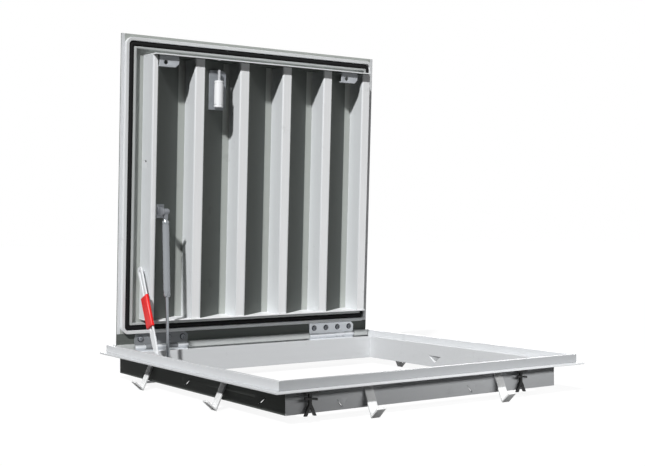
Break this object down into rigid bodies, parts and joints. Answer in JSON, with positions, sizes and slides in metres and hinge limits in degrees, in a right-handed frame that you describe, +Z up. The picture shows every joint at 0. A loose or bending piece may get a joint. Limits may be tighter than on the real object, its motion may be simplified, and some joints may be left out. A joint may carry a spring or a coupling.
{
  "type": "hinged hatch cover with coaming frame",
  "caption": "Ribbed lid on a hinged coaming frame, standing open, with gasket, gas strut, slotted hold-open arm with grip, draw bolt, keepers and anchor straps.",
  "frame": {"origin": "bottom centre of the bounding box with the lid open, under the anchor straps", "axes": "+X along the hinge line, to the right seen from the free side; +Y towards the hinge side; +Z up"},
  "size_m": [1.0464, 1.0966, 1.1087],
  "materials": {
    "aluminium": "mill finish plate, satin",
    "anchor_steel": "bent strap, satin",
    "black_iron": "black painted steel",
    "bright_aluminium": "bright machined face",
    "polished_rod": "polished piston rod",
    "red_grip": "red dipped vinyl",
    "rubber": "black seal rubber",
    "screw_steel": "dark passivated screw steel",
    "steel": "brushed stainless steel",
    "strut_body": "dark painted tube",
    "white_barrel": "light satin tube"
  },
  "bodies": {
    "frame": {"anchors_front": "anchor_steel", "anchors_left": "anchor_steel", "anchors_right": "anchor_steel", "apron_back": "aluminium", "arm_bracket": "aluminium", "arm_pivot_bolt": "steel", "clamp_bodies": "black_iron", "clamp_wing_nuts": "black_iron", "coaming_back": "aluminium", "coaming_front": "aluminium", "coaming_left": "aluminium", "coaming_right": "aluminium", "flange_back": "aluminium", "flange_front": "aluminium", "flange_left": "aluminium", "flange_right": "aluminium", "hinge_frame_leaf_left": "aluminium", "hinge_frame_leaf_right": "aluminium", "hinge_frame_screws": "steel", "hinge_pin_left": "steel", "hinge_pin_right": "steel", "lock_keeper": "aluminium", "strut_foot_bracket": "steel", "strut_foot_pin": "steel", "upstand_back": "aluminium", "upstand_front": "aluminium", "upstand_left": "aluminium", "upstand_right": "aluminium"},
    "lid": {"arm_stud": "steel", "edge_bars": "aluminium", "edge_lip": "aluminium", "free_edge_header": "aluminium", "gasket": "rubber", "gasket_retainer": "aluminium", "hinge_lid_leaf_left": "aluminium", "hinge_lid_leaf_right": "aluminium", "hinge_lid_screws": "screw_steel", "hinge_side_header": "aluminium", "keeper_left": "aluminium", "keeper_right": "aluminium", "key_plug": "steel", "lid_skin": "aluminium", "lock_barrel": "white_barrel", "lock_plate": "aluminium", "rib_1": "aluminium", "rib_2": "aluminium", "rib_3": "aluminium", "rib_4": "aluminium", "rib_5": "aluminium", "rib_6": "aluminium", "strut_head_bracket": "steel"},
    "lock_bolt": {"lock_bolt": "steel"},
    "strut_rod_body": {"strut_foot_eye": "steel", "strut_rod": "polished_rod"},
    "strut_cylinder_body": {"strut_cylinder": "strut_body", "strut_gland": "strut_body", "strut_head_bolt": "steel", "strut_head_eye": "steel"},
    "arm": {"arm_grip": "red_grip", "hold_open_arm": "bright_aluminium"}
  },
  "joints": [
    {"name": "lid_hinge", "type": "hinge", "parent": "frame", "child": "lid", "pos_m": [0, 0.48625, 0.108], "axis": [1, 0, 0], "range_deg": [0, 87]},
    {"name": "bolt_slide", "type": "slide", "parent": "lid", "child": "lock_bolt", "axis": [0, -0.0523, 0.9986], "range_m": [0, 0.06]},
    {"name": "strut_swing", "type": "hinge", "parent": "frame", "child": "strut_rod_body", "pos_m": [-0.3757, 0.35125, 0.026], "axis": [1, 0, 0], "range_deg": [0, 94.4]},
    {"name": "strut_slide", "type": "slide", "parent": "strut_rod_body", "child": "strut_cylinder_body", "axis": [0, -0.0308, -0.9995], "range_m": [0, 0.2114]},
    {"name": "arm_swing", "type": "hinge", "parent": "frame", "child": "arm", "pos_m": [-0.4275, 0.32425, 0.098], "axis": [1, 0, 0], "range_deg": [0, 128.6]}
  ],
  "couplings": [
    {"joint": "strut_swing", "follows": "lid_hinge", "ratio": 1.0848},
    {"joint": "strut_slide", "follows": "lid_hinge", "m_per_rad": 0.13916},
    {"joint": "arm_swing", "follows": "lid_hinge", "ratio": 1.4772}
  ]
}
